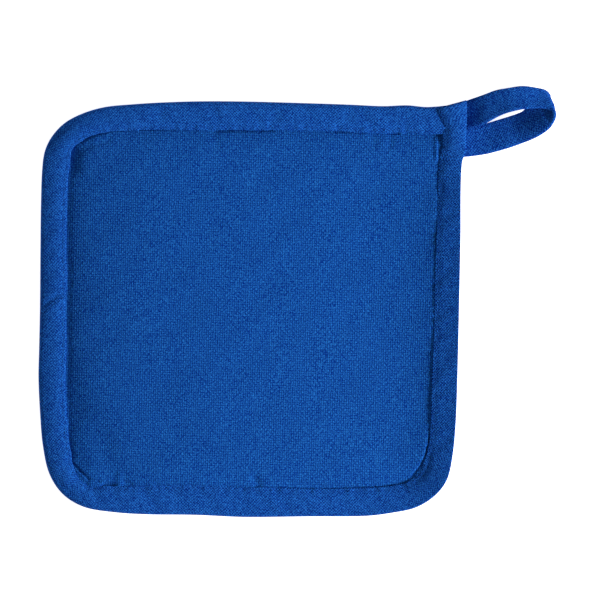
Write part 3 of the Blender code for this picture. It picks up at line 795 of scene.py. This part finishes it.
def padRing(along, kind, value):
    inset, _ = padPoint(sectionAt(along), kind, value)
    for _ in range(3):  # near the square corner the columns shift to meet each other
        trim = inset + pad["cornerRounding"]
        early = trim + along * (pad["cornerRun"] - trim) / pad["cornerRun"]
        back = (edgeLength - along) / pad["cornerRun"]
        late = edgeLength - pad["cornerDrop"] - trim
        late = late - (pad["cornerRun"] - pad["cornerDrop"] - trim) * back
        there = np.where(along < pad["cornerRun"], early,
                         np.where(along > edgeLength - pad["cornerRun"], late, along))
        row = sectionAt(there)
        inset, height = padPoint(row, kind, value)
    if kind == "rise":
        opened = seamOpen(there)
        inset = inset + pad["ledge"] * opened - pad["flush"] * (1.0 - opened)
    x, y = edgePlan(there, inset)
    if kind == "rise":
        steep = pad["riseOpen"] * opened + pad["riseFlush"] * (1.0 - opened)
        lifted = 1.0 - (1.0 - value) ** steep
        near = bell(row.rise * value, pad["puckerRun"])
        pull = pad["pucker"] * (seamPull(there) - pad["puckerLevel"]) * near
        pull = pull * ease(pad["puckerFade"] * value + pad["puckerEdge"])
        pull = pull * (pad["puckerFlush"] + (1.0 - pad["puckerFlush"]) * opened)
        height = height + (crown(x, y) - height) * lifted - pull * ease(there / pad["puckerFrom"])
        height = height + panelRelief(x, y) * ease(pad["undulationFade"] * value)
        height = height + creaseHeight(x, y, creases["panel"])
    if kind == "upper":
        height = height + np.minimum(creaseHeight(x, y, creases["tape"]), 0.0)
    ring = np.stack((x, y, height), axis=-1)
    first, last = ring[0], ring[-1]
    turn = np.array((last[0], first[1], 0.5 * (first[2] + last[2])))
    share = np.linspace(0.0, 1.0, pad["cornerSteps"])[1:-1, None]
    corner = (1 - share)**2 * last + 2 * share * (1 - share) * turn + share**2 * first
    return untangled(np.concatenate((ring, corner)))


def untangled(ring, window=0):  # its points never turn back, and go round more evenly if asked
    away = ring[:, :2] - pad["centre"]
    turn = np.unwrap(np.arctan2(away[:, 1], away[:, 0]))
    turn = 0.5 * (np.maximum.accumulate(turn) + np.minimum.accumulate(turn[::-1])[::-1])
    reach = np.hypot(away[:, 0], away[:, 1])
    if window:
        around = np.concatenate((turn[-window:] - 2.0 * math.pi, turn, turn[:window] + 2.0 * math.pi))
        even = np.convolve(around, np.ones(2 * window + 1) / (2 * window + 1), mode="valid")
        reach, turn = np.interp(even, turn, reach, period=2.0 * math.pi), even
    way = np.stack((np.cos(turn), np.sin(turn)), axis=-1)
    return np.concatenate((pad["centre"] + reach[:, None] * way, ring[:, 2:]), axis=1)


def panelRelief(x, y):  # low waves in several directions
    chance = np.random.default_rng(4)
    total = np.zeros_like(x)
    for length in pad["undulationLengths"]:
        turn, phase = chance.uniform(0.0, 2.0 * math.pi, 2)
        total += np.sin(2.0 * math.pi * (x * math.cos(turn) + y * math.sin(turn)) / length + phase)
    return pad["undulation"] * (total / math.sqrt(len(pad["undulationLengths"])))


def padMesh():
    along = np.linspace(0.0, edgeLength, math.ceil(edgeLength / pad["spacing"]))
    rings = [padRing(along, kind, value) for kind, value in padProfile]
    centre = np.array(pad["centre"])
    middle = [np.broadcast_to((*centre, 0.0), rings[0].shape)]
    under = untangled(rings[0], pad["evenOver"])[:, :2]
    for share in pad["underShares"]:
        plan = centre + (under - centre) * share
        middle.append(np.column_stack((plan, np.zeros(len(plan)))))
    outer, even = rings[-1][:, :2], untangled(rings[-1], pad["evenOver"])[:, :2]
    top = []
    for share in 1.0 - np.linspace(0.0, 1.0, pad["innerRings"])[1:] ** pad["innerGrowth"]:
        ring = outer + (even - outer) * ease(pad["evenFade"] * (1.0 - share))
        plan = centre + (ring - centre) * max(share, pad["innerEnd"])
        x, y = plan[:, 0], plan[:, 1]
        height = crown(x, y) + panelRelief(x, y) + creaseHeight(x, y, creases["panel"])
        top.append(np.column_stack((plan, height)))
    rings = np.stack(middle + rings + top)
    piece = ringMesh("padCloth", rings, panelCotton, capped=False)
    closeRings(piece.data, rings.shape[1])
    return piece


def closeRings(mesh, size):  # the first and the last ring are points, so each becomes one vertex
    work = bmesh.new()
    work.from_mesh(mesh)
    work.verts.ensure_lookup_table()
    for ring in (work.verts[:size], work.verts[-size:]):
        middle = sum((v.co for v in ring), Vector()) / size
        bmesh.ops.pointmerge(work, verts=list(ring), merge_co=middle)
    work.to_mesh(mesh)
    work.free()


padCloth = padMesh()
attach(padCloth, "root")
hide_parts("pad")
print("pad filled:", len(padCloth.data.polygons), "faces")


# the strap of the hanging loop: tape folded in half again, its raw edges inside

strapRows = np.array([  # far edge x, y, z, near edge x, y, z, at the middle of the thickness
    (71.4, 92.6, 0.9, 71.4, 82.6, 0.9),
    (79.6, 94.9, 0.9, 79.6, 82.6, 0.9),
    (84.3, 96.5, 3.1, 85, 83.1, 3.7),
    (88.6, 98, 5.2, 90, 84.8, 5.9),
    (94.8, 100.3, 6.7, 96.3, 88.2, 7.6),
    (101, 101.4, 7.4, 102.2, 90.3, 9.3),
    (107.1, 102.2, 7, 108.3, 91.5, 9.8),
    (112.9, 101.6, 6, 113.8, 91.9, 9.7),
    (117.4, 100.5, 4.8, 118.8, 91.6, 9.9),
    (119.1, 99.3, 4, 121.5, 90.4, 10.9),
    (119.4, 98.1, 3.2, 122.7, 88.5, 11.9),
    (117.8, 95.4, 2.4, 122.2, 85.6, 12.3),
    (113.8, 93.2, 1.9, 120.3, 82.6, 11.6),
    (109.9, 91.9, 1.7, 117.1, 80.1, 9.8),
    (107, 89.9, 1.6, 112.2, 77.3, 7.3),
    (101.9, 88, 1.5, 106.4, 75, 5),
    (96.7, 86.4, 1.7, 100.7, 73, 4),
    (91.7, 84.9, 1.5, 94.8, 71.3, 2.9),
    (86.7, 83.6, 1.2, 89.3, 70, 1.9),
    (79.6, 82.2, 0.9, 80, 68.8, 0.9),
    (71.4, 81.9, 0.9, 71.4, 68.8, 0.9),
])
strap = {
    "ply": 0.42, "spacing": 0.8, "arch": 0.5,
    "layers": (0.22, 0.68),    # heights of the hem and of the outer ply above the middle
    "hemBack": 4.5,            # the raw edge stops this far from the folded edge
    "hemTurn": 2.0, "edgeInset": 0.1, "edgeRound": 0.9,     # where the sewn edge turns in
    "flatFrom": 0.75,          # cloth that faces up or down more than this lies flat
    "wave": 0.12, "waveLengths": (17.0, 11.0, 7.3), "waveSlant": 1.3,
    "bow": ((46, 0), (51, -0.9), (57, -1), (60.5, 1.6), (71, 1.5), (80, 0.8), (90, 0)),
    "stitchInset": 1.5, "unsewn": 12,       # sections at either end that have no stitches
}


def strapPath(width):  # the ply's middle line across it: (towards the near edge, outward)
    hem, outer = strap["layers"]
    turn, half = 0.5 * (outer - hem), 0.5 * width
    line = [(half - strap["hemBack"], hem), (0.0, hem), (-half + strap["hemTurn"], hem)]
    line += [(-half + turn - turn * math.cos(a) + strap["edgeInset"],
              hem + turn + turn * math.sin(a)) for a in angles(-60, 0, 60)]
    line += [(-half + strap["edgeRound"] + (width - strap["edgeRound"] - outer) * s, outer)
             for s in (0.0, 0.08, 0.2, 0.35, 0.5, 0.65, 0.8, 0.92, 1.0)]
    line += [(half - outer + outer * math.cos(a), outer * math.sin(a)) for a in angles(60, 30, 0)]
    mirrored = [(s, -n) for s, n in line[:-1]][::-1]
    return np.array(line + mirrored)


def strapMesh():
    knots = chordLengths(0.5 * (strapRows[:, :3] + strapRows[:, 3:]))
    along = np.linspace(0.0, knots[-1], math.ceil(knots[-1] / strap["spacing"]) + 1)
    edges, direction = curveAt(strapRows, knots, along)
    far, near = edges[:, :3], edges[:, 3:]
    half = 0.5 * (near - far)
    outward = np.cross(half, -(direction[:, :3] + direction[:, 3:]))
    outward /= np.linalg.norm(outward, axis=1, keepdims=True)
    free = 1.0 - ease((np.abs(outward[:, 2]) - strap["flatFrom"]) / (1.0 - strap["flatFrom"]))
    bow = np.interp(along, *zip(*strap["bow"]))[:, None]
    width = float(2.0 * np.linalg.norm(half, axis=1).mean())
    path = strapPath(width)
    step = np.gradient(path, axis=0)
    step /= np.linalg.norm(step, axis=1, keepdims=True)
    normal = np.stack((-step[:, 1], step[:, 0]), axis=1)
    travelled = chordLengths(path)

    def place(skin):
        share = np.clip(2.0 * skin[:, 0] / width, -1.0, 1.0)
        wave = wander(along[:, None] + strap["waveSlant"] * skin[:, 0], strap["waveLengths"], 8)
        lift = free[:, None] * (strap["arch"] * (1.0 - share**2) + strap["wave"] * wave)
        lift = lift + bow * (1.0 - share**2)
        across = (2.0 * skin[:, 0] / width)[None, :, None] * half[:, None]
        points = 0.5 * (far + near)[:, None] + across
        points = points + (skin[:, 1] + lift)[..., None] * outward[:, None]
        points[..., 2] = np.maximum(points[..., 2], 0.0)
        return points

    skins = [place(path + way * strap["ply"] * normal) for way in (0.5, -0.5)]
    uv = np.stack(np.broadcast_arrays(along[:, None], travelled[None, :]), axis=-1)
    # the strap's cloth is painted darker as the loop's shade
    piece = plyMesh("hanging_loopCloth", skins, uv, shadedStrapCotton)
    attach(piece, "root")
    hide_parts("hanging_loop")
    seamAt = strap["stitchInset"] - 0.5 * width
    surface = strap["layers"][1] + 0.5 * strap["ply"]
    unsewn = strap["unsewn"]
    sew("hanging_loopStitches", [place(np.array([[seamAt, level]]))[unsewn:-unsewn, 0]
                                 for level in (surface, -surface)])


strapMesh()
print("strap folded and bent into a loop")


# floor, light and camera

studio = {
    "pixels": 600, "pixelSize": 0.47619,          # mm on the table for one pixel of the photo
    "centrePixel": (297.0, 301.0),                # where the object's origin shows
    "cameraHeight": 1500.0, "cameraReach": 20000.0,
    "floorSize": 4000.0, "floorDepth": 300.0, "floorGap": 0.2,
    "floor": {"Base Color": linear("#f4f4f2"), "Roughness": 0.9, "Specular IOR Level": 0.1,
              "Emission Color": (1.0,) * 4, "Emission Strength": 0.85},     # a light table: no shadow
    "key": (-13.0, 28.0, 1500.0, 600.0, 38.0),    # turn, lift, distance, size, watts
    "top": (0.0, 90.0, 1600.0, 1600.0, 4.0),
    "sky": {"Strength": 0.17, "Color": (1.0,) * 4},
}


def areaLight(name, turn, lift, distance, size, watts):
    data = bpy.data.lights.new(name, "AREA")
    data.shape, data.size, data.energy = "DISK", size * mm, watts
    lamp = newObject(name, data)
    turn, lift = math.radians(turn), math.radians(lift)
    away = Vector((math.cos(lift) * math.cos(turn), math.cos(lift) * math.sin(turn), math.sin(lift)))
    lamp.location = away * distance * mm
    lamp.rotation_euler = away.to_track_quat("Z", "Y").to_euler()


def studioSet():
    half, top = 0.5 * studio["floorSize"] * mm, -studio["floorGap"] * mm
    square = ((-half, -half), (half, -half), (half, half), (-half, half))
    corners = [(x, y, z) for z in (top - studio["floorDepth"] * mm, top) for x, y in square]
    sides = [(i, (i + 1) % 4, (i + 1) % 4 + 4, i + 4) for i in range(4)]
    mesh = bpy.data.meshes.new("floor")
    mesh.from_pydata(corners, [], [(3, 2, 1, 0), (4, 5, 6, 7)] + sides)
    material, shader, _ = newMaterial("pale matt floor")
    fillInputs(shader, studio["floor"])
    mesh.materials.append(material)
    floor = newObject("floor", mesh)
    areaLight("key softbox", *studio["key"])
    areaLight("top softbox", *studio["top"])
    world = bpy.data.worlds.new("white studio")
    world.use_nodes = True
    fillInputs(world.node_tree.nodes["Background"], studio["sky"])
    scene.world = world
    scene.view_settings.view_transform = "Standard"


def camera():
    data = bpy.data.cameras.new("camera above")
    data.type = "ORTHO"
    data.ortho_scale = studio["pixels"] * studio["pixelSize"] * mm
    data.clip_end = studio["cameraReach"] * mm
    eye = newObject("camera above", data)
    half = 0.5 * studio["pixels"]
    across, down = studio["centrePixel"]
    eye.location = ((half - across) * studio["pixelSize"] * mm,
                    (down - half) * studio["pixelSize"] * mm,
                    studio["cameraHeight"] * mm)
    scene.camera = eye


studioSet()
camera()
print("studio set")
